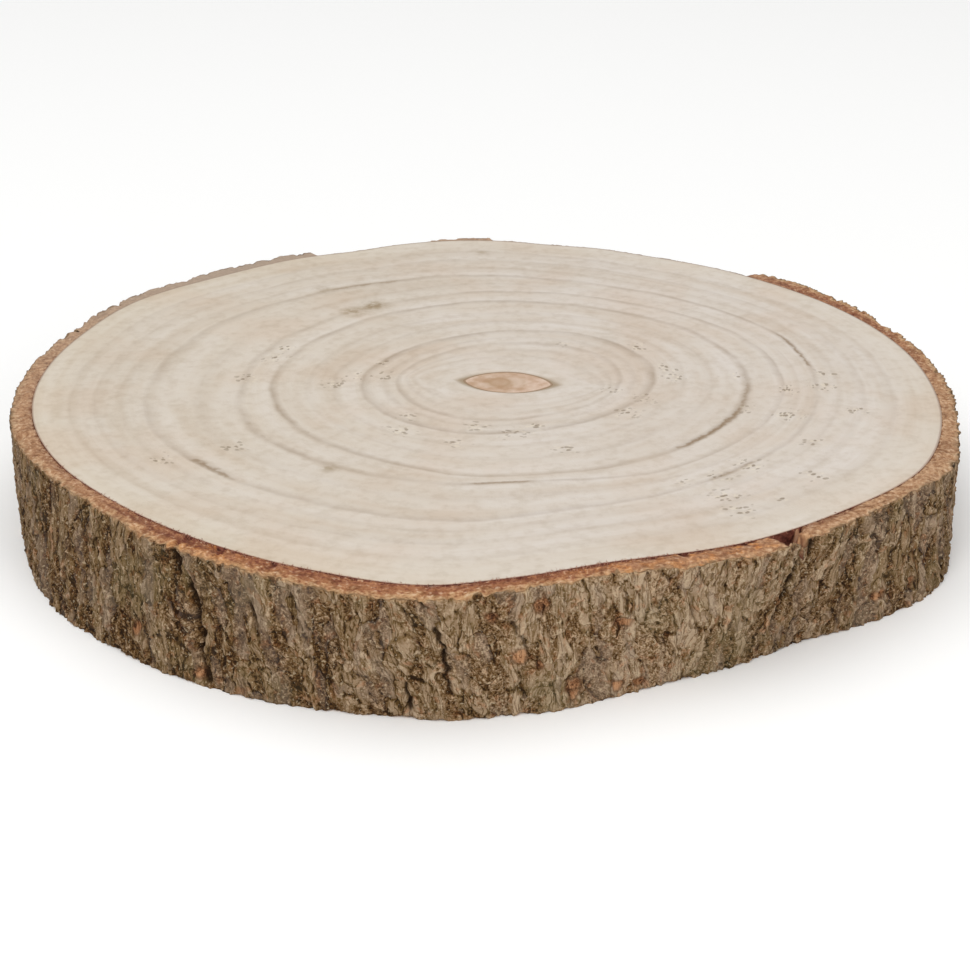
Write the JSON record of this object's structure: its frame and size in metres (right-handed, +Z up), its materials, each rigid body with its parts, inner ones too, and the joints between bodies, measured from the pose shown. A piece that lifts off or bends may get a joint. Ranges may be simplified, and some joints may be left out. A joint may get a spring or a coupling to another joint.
{
  "type": "wood slice",
  "caption": "Round slice sawn across a trunk, with its bark on, two flat sawn faces and an eye-shaped pith; used as a base, board or stand.",
  "frame": {"origin": "middle of the lower sawn face, at the centre of the slice's box", "axes": "+Z up through the thickness, along the trunk; +Y away from the viewer, along the slice's longer width; +X to the viewer's right"},
  "size_m": [0.2402, 0.2524, 0.03],
  "materials": {
    "wood": "sawn end grain, dry and matt, with rough natural bark around the rim"
  },
  "bodies": {
    "root": {"wood_slice": "wood"}
  },
  "joints": []
}
